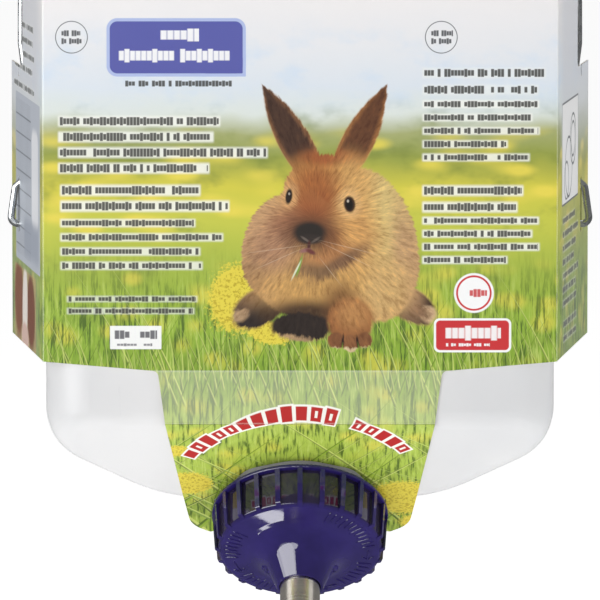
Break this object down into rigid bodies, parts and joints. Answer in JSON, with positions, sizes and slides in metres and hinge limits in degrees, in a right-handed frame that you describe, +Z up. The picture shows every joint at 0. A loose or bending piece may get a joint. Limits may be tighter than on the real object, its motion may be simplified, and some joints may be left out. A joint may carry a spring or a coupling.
{
  "type": "hanging rabbit water bottle",
  "caption": "Upside-down plastic water bottle with a slanted screw cap, a steel ball-valve drinking tube, a wire cage hanger and a printed card sleeve.",
  "frame": {"origin": "axis of the cage rail inside the bends of the two hooks, midway between them", "axes": "+X along the rail to the right as seen from the cage, -Y into the cage where the drinking tube points, +Z up"},
  "size_m": [0.1886, 0.1246, 0.2741],
  "materials": {
    "milky_plastic": "milky translucent polyethylene, satin",
    "printed_card": "clay-coated paperboard with a four-colour print, semi-gloss",
    "purple_plastic": "moulded, high gloss",
    "liner_foam": "closed-cell foam, matt",
    "grommet_rubber": "moulded rubber, matt",
    "stainless_tube": "drawn stainless tube, satin",
    "steel_ball": "polished stainless",
    "galvanised_wire": "bright galvanised wire"
  },
  "bodies": {
    "bottle": {"bottle_shell": "milky_plastic", "printed_sleeve": "printed_card", "hanger_bail": "galvanised_wire", "cage_hook_left": "galvanised_wire", "cage_hook_right": "galvanised_wire"},
    "seal": {"cap_liner": "liner_foam"},
    "cap": {"cap_shell": "purple_plastic", "tube_grommet": "grommet_rubber"},
    "tube": {"drinking_tube": "stainless_tube"},
    "ball_lower": {"valve_ball_lower": "steel_ball"},
    "ball_upper": {"valve_ball_upper": "steel_ball"}
  },
  "joints": [
    {"name": "cap_lift", "type": "slide", "parent": "bottle", "child": "seal", "axis": [0, -0.6626, -0.749], "range_m": [0, 0.0106]},
    {"name": "cap_turn", "type": "hinge", "parent": "seal", "child": "cap", "pos_m": [0, 0.03646, -0.18703], "axis": [0, -0.6626, -0.749], "range_deg": [0, 900]},
    {"name": "tube_swivel", "type": "hinge", "parent": "cap", "child": "tube", "pos_m": [0, 0.01765, -0.2083], "axis": [0, -0.6626, -0.749], "continuous": true},
    {"name": "ball_lower_lift", "type": "slide", "parent": "tube", "child": "ball_lower", "axis": [0, 0.6626, 0.749], "range_m": [0, 0.003]},
    {"name": "ball_upper_lift", "type": "slide", "parent": "tube", "child": "ball_upper", "axis": [0, 0.6626, 0.749], "range_m": [0, 0.003]}
  ],
  "couplings": [
    {"joint": "cap_lift", "follows": "cap_turn", "m_per_rad": 0.0006737},
    {"joint": "ball_upper_lift", "follows": "ball_lower_lift", "ratio": 1}
  ]
}
